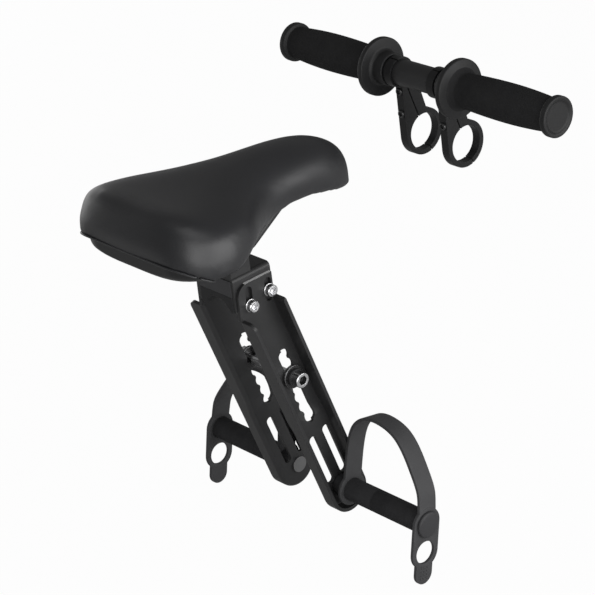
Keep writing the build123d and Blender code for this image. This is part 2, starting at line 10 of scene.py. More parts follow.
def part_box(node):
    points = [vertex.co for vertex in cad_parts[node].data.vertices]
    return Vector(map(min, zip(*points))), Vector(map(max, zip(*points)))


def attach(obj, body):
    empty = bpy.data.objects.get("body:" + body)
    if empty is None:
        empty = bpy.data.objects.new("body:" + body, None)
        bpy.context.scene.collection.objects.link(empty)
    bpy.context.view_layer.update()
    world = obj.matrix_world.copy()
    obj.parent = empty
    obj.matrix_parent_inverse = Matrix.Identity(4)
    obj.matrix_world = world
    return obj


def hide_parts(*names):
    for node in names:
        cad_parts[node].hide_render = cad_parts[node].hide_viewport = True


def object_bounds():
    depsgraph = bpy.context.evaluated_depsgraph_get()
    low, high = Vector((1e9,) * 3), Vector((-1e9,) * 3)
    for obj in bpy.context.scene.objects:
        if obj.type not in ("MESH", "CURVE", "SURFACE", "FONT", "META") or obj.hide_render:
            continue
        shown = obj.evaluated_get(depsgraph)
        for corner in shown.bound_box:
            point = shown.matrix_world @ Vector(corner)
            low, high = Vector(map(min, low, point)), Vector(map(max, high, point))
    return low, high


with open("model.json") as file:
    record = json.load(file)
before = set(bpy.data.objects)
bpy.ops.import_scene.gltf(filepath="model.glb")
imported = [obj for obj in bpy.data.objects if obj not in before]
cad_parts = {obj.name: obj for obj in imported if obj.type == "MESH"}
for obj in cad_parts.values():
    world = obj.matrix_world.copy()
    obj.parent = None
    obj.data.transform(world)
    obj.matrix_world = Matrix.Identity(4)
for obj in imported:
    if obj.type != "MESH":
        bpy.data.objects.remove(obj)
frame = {"nodes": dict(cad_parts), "record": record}
CAD_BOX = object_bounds()

bl_info = {
    "name": "Child Bike Seat Dressing",
    "version": (1, 0, 0),
    "blender": (4, 5, 0),
    "location": "View3D > Sidebar > Child Seat",
    "description": "Dresses a front-mounted child seat and its small handlebar on their fixed frame",
    "category": "Object",
}

BODY = "root"
SIDES = (("right", -1), ("left", 1))

# Finishes, by the names of the record's material slots, and two that the scene alone has: the grips' foam,
# and a light grey painted highlight for the top edges of the legs' tabs.
LEATHER, PAN = "leatherette", "base_plastic"
STEEL, BRIGHT, OXIDE = "painted_steel", "bright_steel", "black_steel"
BUSH, REST, PAD, PEG, FOAM = "bush_rubber", "rest_plastic", "rest_rubber", "peg_metal", "peg_foam"
CAP, STRAP, BAR, GRIP, CLAMP = "cap_plastic", "strap_rubber", "bar_metal", "grip_rubber", "clamp_plastic"
BARREL, TAB_GLINT = "grip_foam", "painted_glint_edge"
FINISH = "finish_"

# Lamps: place, then width and height, in metres.
MAIN_PLACE, MAIN_SIZE = (0.4, -1.45, 0.3), (2.2, 0.9)
TOP_PLACE, TOP_SIZE = (-0.5, -0.6, 1.6), (1.2, 1.2)
FILL_PLACE, FILL_SIZE = (-1.1, -1.15, 0.3), (0.9, 0.9)
BACK_PLACE, BACK_SIZE = (0.1, 1.5, 0.1), (1.4, 0.8)

# Floor: half of its side, its gap below the feet and its tone where it takes shadow.
FLOOR_HALF, FLOOR_GAP, FLOOR_TONE = 12.0, 0.002, (0.5, 0.5, 0.5)

# Camera: side of the picture in dots, width of the sensor in millimetres, furthest sight in metres.
PHOTO_SIDE, SENSOR, FAR_SIGHT = 595, 36.0, 100.0

# Angles up to which faces count as one flat face, and up to which they are shaded as one.
FLAT, SMOOTH = math.radians(0.3), math.radians(35)

# Angles from which the edges of most pieces, of the foam sleeves, buttons and grips are rounded.
SHARP, FOAM_SHARP, CAP_SHARP, GRIP_SHARP = (math.radians(angle) for angle in (30, 60, 25, 32))

# Distances under which points count as one, and under which an edge counts as none.
SAME_POINT, NO_EDGE = 1e-6, 1e-7

# Share of the way to its neighbours that a point moves in a smoothing pass.
HALF_WAY = 0.5

# Steps round a turned shape and a grip, along a grip's barrel, and of the air that swells the cover.
TURN_STEPS, GRIP_STEPS, BARREL_STEPS, AIR_STEPS = 72, 96, 16, 20

# Least slant of a face that looks back or up, and of one that looks down.
SLANT, STEEP = 0.3, 0.5

# Nubs on a strap's tab, counted from the middle of its lower end.
NUB_ROWS, NUB_COLUMNS = range(-1, 3), range(-1, 2)


def tone(name, value, text):
    """Colour property."""
    return FloatVectorProperty(name=name, description=text, subtype="COLOR", default=value, min=0, max=1)


def length(name, value, text):
    """Length property in metres."""
    return FloatProperty(name=name, description=text, default=value, min=0, unit="LENGTH", precision=5)


def number(name, value, text):
    """Plain number property."""
    return FloatProperty(name=name, description=text, default=value, min=0)


def watts(name, value, text):
    """Power property in watts."""
    return FloatProperty(name=name, description=text, default=value, min=0, unit="POWER")


class SaddleProps(bpy.types.PropertyGroup):
    leather: tone("Leatherette", (0.0142, 0.0144, 0.0162), "Colour of the saddle's cover")
    pan: tone("Rear panel", (0.009, 0.009, 0.0096), "Colour of the smooth panel below the rear seam")
    grain: length("Grain depth", 0.00004, "Depth of the cover's fine grain")
    voxel: length("Skin mesh", 0.0026, "Size of the cover's mesh before it is swelled")
    fill_nose: length("Fill at the nose", 0.0006, "How much the settled skin is filled out again at the nose")
    fill_rear: length("Fill at the rear", 0.0032, "How much the settled skin is filled out again at the rear")
    tuck: number("Tuck", 0.3, "How far the skin turns under before it is held to the base")
    band: length("Seam band", 0.003, "Strip along the rear seam that is held")
    pressure: number("Pressure", 4.0, "Air pressure that swells the cover")
    cap: length("Swell limit", 0.001, "Furthest that any point of the cover may move")
    settle: IntProperty(name="Smoothing", description="Passes that settle the skin", default=40, min=0)
    ease: IntProperty(name="Easing", description="Passes that fade the filling towards the held edges",
                      default=10, min=0)
    rounding: IntProperty(name="Rounding", description="Passes that round the rear pad seen from above",
                          default=150, min=0)
    spread: length("Spread", 0.003, "How far the rounded rear pad is spread again")
    fade: length("Fade", 0.058, "Distance over which the spread begins")
    flare: length("Flare", 0.0024, "How far the cover's lower edge stands out along the rear seam")
    flare_high: length("Flare height", 0.02, "Height above the seam at which the flare begins")
    flare_bend: number("Flare bend", 1.5, "How steeply the flare grows towards the seam")
    centre: length("Rear centre", 0.06, "Distance of the rear pad's centre from the saddle's rear end")
    hem: length("Hem", 0.0009, "Radius of the rolled hem along the rear seam")


class MetalProps(bpy.types.PropertyGroup):
    paint: tone("Paint", (0.024, 0.024, 0.0247), "Colour of the satin black paint")
    # Painted highlight: this light grey stands in for the glint of light on the top edge of the legs' tabs.
    glint_tone: tone("Sheared edge", (0.8, 0.8, 0.8), "Colour of the bare top edge of the legs' tabs")
    zinc: tone("Zinc", (0.78, 0.78, 0.79), "Colour of the bright plated fasteners")
    oxide: tone("Black oxide", (0.019, 0.019, 0.0196), "Colour of the dark fasteners")
    # The pegs' cores really are this plain steel; on the through bolt's washers the same light colour is a
    # painted highlight round their rims.
    plain: tone("Plain steel", (0.273, 0.273, 0.2765), "Colour of the pegs' cores and of worn edges")
    fold_edge: length("Sheet edge", 0.0006, "Rounding of the sheet steel's cut edges")
    head_edge: length("Head edge", 0.0004, "Rounding of the bolt heads")
    # Width of the painted highlight round the through bolt's washers.
    rim_glint: length("Worn rim", 0.0007, "Width of the worn edge of the through bolt's washers")
    # The through bolt's socket takes painted shade: dark oxide inside its recess, within this radius and
    # between these depths.
    socket_r: length("Socket radius", 0.0041, "Radius within which the through bolt's socket is dark")
    socket_lip: length("Socket lip", 0.0004, "Depth at which the dark of the through bolt's socket begins")
    socket_deep: length("Socket depth", 0.006, "Depth at which the dark of the through bolt's socket ends")
    washer_r: length("Washer radius", 0.0054, "Radius of the washers under the leg bolts' heads")
    washer_t: length("Washer thickness", 0.0012, "Thickness of the washers under the leg bolts' heads")


class RubberProps(bpy.types.PropertyGroup):
    strap: tone("Strap", (0.052, 0.052, 0.054), "Colour of the foot straps")
    cap: tone("Cap", (0.036, 0.036, 0.038), "Colour of the buttons at the pegs' ends")
    foam: tone("Foam", (0.031, 0.031, 0.0325), "Colour of the foam on the pegs")
    barrel: tone("Barrel", (0.021, 0.021, 0.0216), "Colour of the foam on the grips")
    rest: tone("Rest", (0.052, 0.052, 0.055), "Colour of the rest block")
    pad: tone("Pad", (0.021, 0.021, 0.022), "Colour of the pad under the rest block")
    grip: tone("Grip", (0.0115, 0.0115, 0.012), "Colour of the grips' discs and end flanges")
    clamp: tone("Clamp", (0.009, 0.009, 0.0095), "Colour of the handlebar clamps")
    strap_edge: length("Strap edge", 0.0006, "Rounding of the straps' edges")
    nub: length("Nub", 0.0009, "Radius of the small nubs on the strap's pull tab")
    nub_gap: length("Nub spacing", 0.0032, "Distance between the nubs")
    tilt: FloatProperty(name="Strap tilt", description="Backward tilt of the strap's tab", subtype="ANGLE",
                        default=math.radians(12))
    tab_up: length("Tab middle", 0.0085, "Height of the nubs' middle above the tab's lower end")
    end_round: length("Foam end", 0.0012, "Rounding of the foam sleeves' ends")
    groove: length("Foam seam", 0.0005, "Depth of the ring seam round a foam sleeve")
    seam_at: number("Foam seam place", 0.45, "Place of the ring seam as a share of the sleeve's length")
    brim_gap: length("Button gap", 0.0002, "Gap between a strap and the brim of its button")
    stem: number("Button stem", 0.84, "Radius of a button's stem as a share of the brim's")
    slope_high: length("Button slope", 0.0012, "Height of the sloped edge of a button's face")
    slope_wide: length("Button slope width", 0.0016, "Width of the sloped edge of a button's face")
    dome: length("Button dome", 0.0003, "Rise of a button's face from its slope to its flat middle")
    dome_flat: number("Button middle", 0.45, "Radius of a button's flat middle as a share of the brim's")
    cap_edge: length("Button edge", 0.0006, "Rounding of the buttons' edges")


class GripProps(bpy.types.PropertyGroup):
    hub: length("Hub radius", 0.014, "Radius of the hub between the clamp and the finger disc")
    disc: length("Disc radius", 0.025, "Radius of the finger disc")
    disc_in: length("Disc place", 0.012, "Distance of the disc from the grip's inner end")
    disc_t: length("Disc thickness", 0.005, "Thickness of the finger disc")
    cove: length("Cove", 0.002, "Size of the cove between the hub and the disc")
    root: length("Barrel root", 0.0178, "Radius of the barrel where it leaves the disc")
    root_near: length("Root start", 0.0014, "Distance from the disc at which the root begins")
    root_half: length("Root middle", 0.003, "Distance from the disc at which half of the root is gone")
    root_far: length("Root end", 0.006, "Distance from the disc at which the root ends")
    start: length("Barrel start", 0.0144, "Radius of the barrel at the end of its root")
    belly: length("Barrel belly", 0.0161, "Radius of the barrel at its middle")
    neck: length("Barrel neck", 0.0136, "Radius of the barrel beside the end flange")
    neck_gap: length("Neck gap", 0.001, "Distance of the barrel's neck from the end flange")
    flange: length("Flange radius", 0.0169, "Radius of the end flange")
    flange_t: length("Flange thickness", 0.0054, "Thickness of the end flange")
    dish: length("Dish", 0.0016, "Depth of the dished end face")
    dish_slope: length("Dish slope", 0.002, "Width of the slope inside the rim of the dished end face")
    rim: length("Rim", 0.0028, "Width of the rim round the dished end face")
    edge: length("Edge", 0.0009, "Rounding of the grip's edges")


class StageProps(bpy.types.PropertyGroup):
    eye: FloatVectorProperty(name="Camera", description="Place of the camera", subtype="TRANSLATION",
                             default=(-1.0272, -1.3551, 0.8498))
    look: FloatVectorProperty(name="Look", description="Direction the camera looks", subtype="DIRECTION",
                              default=(0.5607, 0.6974, -0.4463))
    up: FloatVectorProperty(name="Up", description="Direction that is up in the picture", subtype="DIRECTION",
                            default=(0.3765, 0.2653, 0.8876))
    focal: number("Focal length", 2400.0, "Focal length in picture dots")
    key: watts("Main light", 20.0, "Power of the main light")
    top: watts("Top light", 5.0, "Power of the light above")
    fill: watts("Fill light", 8.0, "Power of the light beside the camera")
    back: watts("Back light", 5.0, "Power of the light on the far side")
    room: number("Room", 0.19, "Strength of the dim room as a light and in reflections")
    mirror: number("Floor in gloss", 0.1, "Strength of the white floor in reflections")
    white: number("Floor white", 0.975, "Share of the floor that is plain white, the rest takes shadow")


def principled(name, colour, roughness, specular=0.5, metallic=0.0):
    """Material with a Principled shader: material, node tree, shader."""
    material = bpy.data.materials.new(FINISH + name)
    material.use_nodes = True
    tree = material.node_tree
    shader = tree.nodes["Principled BSDF"]
    shader.inputs["Base Color"].default_value = (*colour, 1)
    shader.inputs["Roughness"].default_value = roughness
    shader.inputs["Specular IOR Level"].default_value = specular
    shader.inputs["Metallic"].default_value = metallic
    return material, tree, shader


def texture(tree, kind, **settings):
    """Texture node on the piece's Object coordinates; returns its first output."""
    place = tree.nodes.new("ShaderNodeTexCoord")
    node = tree.nodes.new(kind)
    tree.links.new(place.outputs["Object"], node.inputs["Vector"])
    for socket, value in settings.items():
        node.inputs[socket].default_value = value
    return node.outputs[0]


def mottle(tree, shader, mask, colour, spread):
    """Base colour that wanders about its tone by a share of it."""
    mix = tree.nodes.new("ShaderNodeMix")
    mix.data_type = "RGBA"
    mix.inputs[6].default_value = (*[c * (1 - spread) for c in colour], 1)
    mix.inputs[7].default_value = (*[c * (1 + spread) for c in colour], 1)
    tree.links.new(mask, mix.inputs[0])
    tree.links.new(mix.outputs[2], shader.inputs["Base Color"])


def wander(tree, shader, mask, low, high):
    """Roughness that wanders between two values."""
    span = tree.nodes.new("ShaderNodeMapRange")
    span.inputs["To Min"].default_value = low
    span.inputs["To Max"].default_value = high
    tree.links.new(mask, span.inputs["Value"])
    tree.links.new(span.outputs["Result"], shader.inputs["Roughness"])


def relief(tree, shader, height, depth, soften=0.0):
    """Fine bump from a texture, over edges that are softened by a radius."""
    bump = tree.nodes.new("ShaderNodeBump")
    bump.inputs["Distance"].default_value = depth
    tree.links.new(height, bump.inputs["Height"])
    tree.links.new(bump.outputs["Normal"], shader.inputs["Normal"])
    if soften:
        bevel = tree.nodes.new("ShaderNodeBevel")
        bevel.samples = 6
        bevel.inputs["Radius"].default_value = soften
        tree.links.new(bevel.outputs["Normal"], bump.inputs["Normal"])


def leatherette(props):
    """Matte dark grey cover with a pebble grain and a soft sheen."""
    material, tree, shader = principled(LEATHER, props.leather, roughness=0.42, specular=0.65)
    pebble = texture(tree, "ShaderNodeTexVoronoi", Scale=820, Randomness=1)
    cloud = texture(tree, "ShaderNodeTexNoise", Scale=28, Detail=4)
    mottle(tree, shader, cloud, props.leather, spread=0.16)
    wander(tree, shader, cloud, low=0.38, high=0.46)
    relief(tree, shader, pebble, props.grain)
    return material


def pan_plastic(props):
    """Smooth moulded panel under the saddle's rear."""
    material, tree, shader = principled(PAN, props.pan, roughness=0.28)
    cloud = texture(tree, "ShaderNodeTexNoise", Scale=40, Detail=3)
    fine = texture(tree, "ShaderNodeTexNoise", Scale=1500, Detail=2)
    mottle(tree, shader, cloud, props.pan, spread=0.14)
    wander(tree, shader, cloud, low=0.24, high=0.34)
    relief(tree, shader, fine, depth=0.00003, soften=0.0008)
    return material


def satin_paint(name, colour, low, high, specular=0.42):
    """Satin black paint with a faint orange peel and uneven gloss."""
    material, tree, shader = principled(name, colour, (low + high) / 2, specular)
    peel = texture(tree, "ShaderNodeTexNoise", Scale=700, Detail=2)
    cloud = texture(tree, "ShaderNodeTexNoise", Scale=55, Detail=5)
    mottle(tree, shader, cloud, colour, spread=0.2)
    wander(tree, shader, cloud, low, high)
    relief(tree, shader, peel, depth=0.00005, soften=0.0006)
    return material


def plated(name, colour, roughness):
    """Bright plated steel with a fine turned grain."""
    material, tree, shader = principled(name, colour, roughness, metallic=1.0)
    grain = texture(tree, "ShaderNodeTexNoise", Scale=2600, Detail=2)
    cloud = texture(tree, "ShaderNodeTexNoise", Scale=300, Detail=3)
    mottle(tree, shader, cloud, colour, spread=0.12)
    wander(tree, shader, cloud, low=0.7 * roughness, high=1.4 * roughness)
    relief(tree, shader, grain, depth=0.00002, soften=0.0003)
    return material


def moulded(name, colour, roughness, specular=0.3, grain=900):
    """Matte moulded rubber or plastic with a fine eroded texture."""
    material, tree, shader = principled(name, colour, roughness, specular)
    pits = texture(tree, "ShaderNodeTexNoise", Scale=grain, Detail=3)
    cloud = texture(tree, "ShaderNodeTexNoise", Scale=60, Detail=4)
    mottle(tree, shader, cloud, colour, spread=0.18)
    wander(tree, shader, cloud, low=0.9 * roughness, high=min(1, 1.1 * roughness))
    relief(tree, shader, pits, depth=0.00005, soften=0.0005)
    return material


def foam(name, colour):
    """Near-black closed-cell foam with open pores at its skin."""
    material, tree, shader = principled(name, colour, roughness=0.95, specular=0.12)
    pores = texture(tree, "ShaderNodeTexVoronoi", Scale=1300, Randomness=1)
    cloud = texture(tree, "ShaderNodeTexNoise", Scale=90, Detail=4)
    mottle(tree, shader, cloud, colour, spread=0.3)
    wander(tree, shader, cloud, low=0.85, high=1.0)
    relief(tree, shader, pores, depth=0.00025)
    return material


def make_finishes(scene):
    """All finishes by the name of their slot."""
    saddle, metal, rubber = scene.seat_saddle, scene.seat_metal, scene.seat_rubber
    return {
        LEATHER: leatherette(saddle),
        PAN: pan_plastic(saddle),
        STEEL: satin_paint(STEEL, metal.paint, low=0.34, high=0.5),
        # Light grey painted highlight for the top edge of the legs' tabs.
        TAB_GLINT: moulded(TAB_GLINT, metal.glint_tone, roughness=0.45, specular=0.5, grain=1500),
        BRIGHT: plated(BRIGHT, metal.zinc, roughness=0.2),
        OXIDE: satin_paint(OXIDE, metal.oxide, low=0.2, high=0.3, specular=0.6),
        BUSH: moulded(BUSH, rubber.foam, roughness=0.6),
        REST: moulded(REST, rubber.rest, roughness=0.55),
        PAD: moulded(PAD, rubber.pad, roughness=0.6),
        PEG: plated(PEG, metal.plain, roughness=0.4),
        FOAM: foam(FOAM, rubber.foam),
        CAP: moulded(CAP, rubber.cap, roughness=0.55, specular=0.35, grain=700),
        STRAP: moulded(STRAP, rubber.strap, roughness=0.62, grain=800),
        BAR: satin_paint(BAR, metal.oxide, low=0.4, high=0.52),
        GRIP: moulded(GRIP, rubber.grip, roughness=0.52, specular=0.36, grain=1100),
        BARREL: foam(BARREL, rubber.barrel),
        CLAMP: satin_paint(CLAMP, rubber.clamp, low=0.36, high=0.48, specular=0.3),
    }


def finish(slot):
    """A finish that the first operator has made."""
    return bpy.data.materials[FINISH + slot]


def cad_copy(node):
    """Copy of a CAD node's mesh with its triangles joined."""
    bm = bmesh.new()
    bm.from_mesh(frame["nodes"][node].data)
    bmesh.ops.remove_doubles(bm, verts=bm.verts, dist=SAME_POINT)
    return bm


def solids(node):
    """Lowest and highest corner of each separate solid of a CAD node, in the order of their places."""
    bm = cad_copy(node)
    loose = set(bm.verts)
    boxes = []
    while loose:
        found = [loose.pop()]
        for vert in found:
            near = [edge.other_vert(vert) for edge in vert.link_edges]
            new = [v for v in near if v in loose]
            loose.difference_update(new)
            found.extend(new)
        low = Vector([min(v.co[i] for v in found) for i in range(3)])
        high = Vector([max(v.co[i] for v in found) for i in range(3)])
        boxes.append((low, high))
    bm.free()
    return sorted(boxes, key=lambda box: tuple(box[0]))


def add_piece(name, bm, slot, nodes, materials=None):
    """Object of a finished mesh that rides with the seat and stands for CAD nodes."""
    mesh = bpy.data.meshes.new(name)
    bm.to_mesh(mesh)
    bm.free()
    for material in materials or [finish(slot)]:
        mesh.materials.append(material)
    mesh.shade_smooth()
    mesh.set_sharp_from_angle(angle=SMOOTH)
    piece = bpy.data.objects.new(name, mesh)
    bpy.context.scene.collection.objects.link(piece)
    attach(piece, BODY)
    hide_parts(*nodes)
    return piece


def soften_edges(bm, width, segments=2, angle=SHARP):
    """Rounds every edge that is sharper than an angle."""
    sharp = [edge for edge in bm.edges if edge.is_manifold and edge.calc_face_angle() > angle]
    bmesh.ops.bevel(bm, geom=sharp, offset=width, offset_type="OFFSET", affect="EDGES", segments=segments,
                    profile=0.5, clamp_overlap=True, material=-1)


def rounded_copy(node, width):
    """Copy of a CAD solid with its flat faces joined and its edges rounded."""
    bm = cad_copy(node)
    bmesh.ops.dissolve_limit(bm, angle_limit=FLAT, verts=bm.verts, edges=bm.edges)
    soften_edges(bm, width)
    return bm


def rounded_piece(name, node, slot, width):
    """Piece that is a rounded copy of a CAD solid, its flat faces shaded flat."""
    piece = add_piece(name, rounded_copy(node, width), slot, [node])
    even = piece.modifiers.new("Flat faces", "WEIGHTED_NORMAL")
    even.weight = 100
    even.keep_sharp = True
    return piece


def turned(profile, steps=TURN_STEPS):
    """Shape turned about Z from points of height and radius."""
    bm = bmesh.new()
    verts = [bm.verts.new((radius, 0, height)) for height, radius in profile]
    edges = [bm.edges.new(pair) for pair in zip(verts, verts[1:])]
    bmesh.ops.spin(bm, geom=verts + edges, cent=(0, 0, 0), axis=(0, 0, 1), dvec=(0, 0, 0),
                   angle=2 * math.pi, steps=steps, use_merge=True)
    bmesh.ops.remove_doubles(bm, verts=bm.verts, dist=SAME_POINT)
    bmesh.ops.dissolve_degenerate(bm, dist=NO_EDGE, edges=bm.edges)
    bmesh.ops.recalc_face_normals(bm, faces=bm.faces)
    return bm


def set_on_side(bm, x, y, z, side):
    """Turns a shape built along Z so that it points out to a side, and sets its foot at a place."""
    turn = Matrix.Rotation(-side * math.pi / 2, 4, "X")
    bmesh.ops.transform(bm, matrix=Matrix.Translation((x, y, z)) @ turn, verts=bm.verts)


def join(parts):
    """One mesh of several."""
    whole = bmesh.new()
    for part in parts:
        mesh = bpy.data.meshes.new("joined")
        part.to_mesh(mesh)
        part.free()
        whole.from_mesh(mesh)
        bpy.data.meshes.remove(mesh)
    return whole


def evaluated_mesh(piece):
    """Mesh of a piece after its modifiers."""
    graph = bpy.context.evaluated_depsgraph_get()
    return bpy.data.meshes.new_from_object(piece.evaluated_get(graph))


def swell(piece, pressure, cap, pinned):
    """Swells a skin with air, with pinned points held and every move kept under a cap."""
    start = [v.co.copy() for v in piece.data.vertices]
    group = piece.vertex_groups.new(name="pinned")
    group.add(pinned, 1.0, "REPLACE")
    cloth = piece.modifiers.new("Air", "CLOTH")
    cloth.settings.use_pressure = True
    cloth.settings.uniform_pressure_force = pressure
    cloth.settings.effector_weights.gravity = 0
    cloth.settings.vertex_group_mass = group.name
    scene = bpy.context.scene
    for step in range(1, AIR_STEPS + 1):
        scene.frame_set(step)
    mesh = evaluated_mesh(piece)
    piece.modifiers.remove(cloth)
    scene.frame_set(1)
    for vert, old, new in zip(piece.data.vertices, start, mesh.vertices):
        move = new.co - old
        if move.length > cap:
            move.length = cap
        vert.co = old + move
    bpy.data.meshes.remove(mesh)
    piece.vertex_groups.remove(group)


def seam_cut(node):
    """The cover's flat rear cut: a point of it, its normal, and its outer edge from side to side."""
    bm = cad_copy(node)
    bmesh.ops.dissolve_limit(bm, angle_limit=FLAT, verts=bm.verts, edges=bm.edges)
    low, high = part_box(node)
    middle = (low + high) / 2
    cuts = [face for face in bm.faces if face.normal.x < -SLANT and face.normal.z < -STEEP]
    cut = max(cuts, key=lambda face: face.calc_area())
    outer = set()
    for edge in cut.edges:
        skin = [face for face in edge.link_faces if face is not cut][0]
        if skin.normal.dot(skin.calc_center_median() - middle) > 0:
            outer.update(edge.verts)
    line = sorted((vert.co.copy() for vert in outer), key=lambda co: math.atan2(co.y, middle.x - co.x))
    place, normal = cut.calc_center_median(), cut.normal.copy()
    bm.free()
    return place, normal, line


def bead(points, radius):
    """Round bead along a line of points."""
    curve = bpy.data.curves.new("bead", "CURVE")
    curve.dimensions = "3D"
    curve.bevel_depth = radius
    curve.bevel_resolution = 3
    curve.use_fill_caps = True
    line = curve.splines.new("POLY")
    line.points.add(len(points) - 1)
    for spot, point in zip(line.points, points):
        spot.co = (*point, 1)
    holder = bpy.data.objects.new("bead", curve)
    mesh = evaluated_mesh(holder)
    bm = bmesh.new()
    bm.from_mesh(mesh)
    bpy.data.meshes.remove(mesh)
    bpy.data.objects.remove(holder)
    bpy.data.curves.remove(curve)
    return bm


class SEAT_OT_finishes(bpy.types.Operator):
    """Makes the finishes and puts them on every CAD node by its slot"""
    bl_idname = "seat.finishes"
    bl_label = "Finishes"

    def execute(self, context):
        finishes = make_finishes(context.scene)
        for subpart in frame["record"]["subparts"]:
            node = frame["nodes"][subpart["node"]]
            node.data.materials.clear()
            node.data.materials.append(finishes[subpart["material_slot"]])
        return {"FINISHED"}


class SEAT_OT_saddle(bpy.types.Operator):
    """Padded saddle cover: a skin over the saddle's form, swelled with air and settled, with a rolled hem"""
    bl_idname = "seat.saddle"
    bl_label = "Saddle"

    def execute(self, context):
        props = context.scene.seat_saddle
        low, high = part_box("saddle_cover")
        middle = Vector((low.x + props.centre, 0, 0))
        piece = add_piece("saddle_cushion", cad_copy("saddle_cover"), LEATHER, ["saddle_cover"])
        skin = self.even_skin(piece, props.voxel)
        place, normal, line = seam_cut("saddle_cover")
        loose = {vert.index for vert in skin.vertices
                 if vert.normal.z > -props.tuck and normal.dot(vert.co - place) < -props.band}
        held = [vert.index for vert in skin.vertices if vert.index not in loose]
        bm = bmesh.new()
        bm.from_mesh(skin)
        bm.to_mesh(piece.data)
        bm.free()
        bpy.data.meshes.remove(skin)
        swell(piece, props.pressure, props.cap, held)
        bm = bmesh.new()
        bm.from_mesh(piece.data)
        free = [vert for vert in bm.verts if vert.index in loose]
        self.settle(props, bm, free, middle)
        self.fill(props, free, low.x, high.x)
        for point in [vert.co for vert in bm.verts] + line:
            self.flare(props, point, -normal.dot(point - place), middle)
        whole = join([bm, bead(line, props.hem)])
        whole.to_mesh(piece.data)
        whole.free()
        piece.data.shade_smooth()
        finer = piece.modifiers.new("Finer skin", "SUBSURF")
        finer.levels = 1
        finer.render_levels = 1
        return {"FINISHED"}

    def even_skin(self, piece, size):
        """Mesh of even faces of a size over a piece."""
        voxels = piece.modifiers.new("Skin", "REMESH")
        voxels.mode = "VOXEL"
        voxels.voxel_size = size
        skin = evaluated_mesh(piece)
        piece.modifiers.remove(voxels)
        return skin

    def settle(self, props, bm, free, middle):
        """Rounds the free skin of the rear pad as seen from above, then smooths all of the free skin."""
        rear = [vert for vert in free if vert.co.x < middle.x]
        for _ in range(props.rounding):
            bmesh.ops.smooth_vert(bm, verts=rear, factor=HALF_WAY, use_axis_x=True, use_axis_y=True)
        for _ in range(props.settle):
            bmesh.ops.smooth_vert(bm, verts=free, factor=HALF_WAY,
                                  use_axis_x=True, use_axis_y=True, use_axis_z=True)
        bm.normal_update()

    def fill(self, props, free, rear, nose):
        """Fills the free skin out again, less at the nose and little beside the points that are held."""
        filled = self.eased(free, props.ease)
        for vert in free:
            back = (nose - vert.co.x) / (nose - rear)
            depth = props.fill_nose + back * (props.fill_rear - props.fill_nose)
            vert.co += vert.normal * depth * filled[vert.index]

    def eased(self, free, passes):
        """Share of the filling at each free point: little beside the held ones, whole further away."""
        filled = {vert.index: 1.0 for vert in free}
        for _ in range(passes):
            filled = {vert.index: sum(filled.get(edge.other_vert(vert).index, 0) for edge in vert.link_edges)
                      / len(vert.link_edges) for vert in free}
        return filled

    def flare(self, props, point, above, middle):
        """Moves a point of the rear pad outward, most of all beside the rear seam."""
        way = min(1, max(0, (middle.x - point.x) / props.fade))
        behind = way * way * (3 - 2 * way)
        near = max(0, 1 - max(0, above) / props.flare_high)
        outward = Vector((point.x - middle.x, point.y - middle.y, 0)).normalized()
        point += outward * behind * (props.spread + props.flare * near ** props.flare_bend)


class SEAT_OT_steelwork(bpy.types.Operator):
    """Folded legs and bracket, saddle clamp, rest block and its pad, with rounded edges"""
    bl_idname = "seat.steelwork"
    bl_label = "Steelwork"

    def execute(self, context):
        edge = context.scene.seat_metal.fold_edge
        for side, _ in SIDES:
            leg = rounded_piece(f"folded_leg_{side}", f"leg_{side}", STEEL, edge)
            # Paints a highlight on the top edge of the leg's tab.
            self.paint_tab_glint(leg.data, edge)
        rounded_piece("folded_bracket", "seat_bracket", STEEL, edge)
        for half in ("lower", "upper"):
            rounded_piece(f"saddle_clamp_{half}", f"rail_clamp_{half}", STEEL, edge)
        rounded_piece("tube_rest", "rest_block", REST, edge)
        rounded_piece("tube_pad", "rest_pad", PAD, edge)
        return {"FINISHED"}

    def paint_tab_glint(self, mesh, edge):
        """Paints a light grey highlight on the top edge of a leg's tab: its up-facing top faces take the
        painted highlight finish.
        """
        top = max(vert.co.z for vert in mesh.vertices)
        mesh.materials.append(finish(TAB_GLINT))
        for face in mesh.polygons:
            if face.normal.z > SLANT and face.center.z > top - edge:
                face.material_index = 1


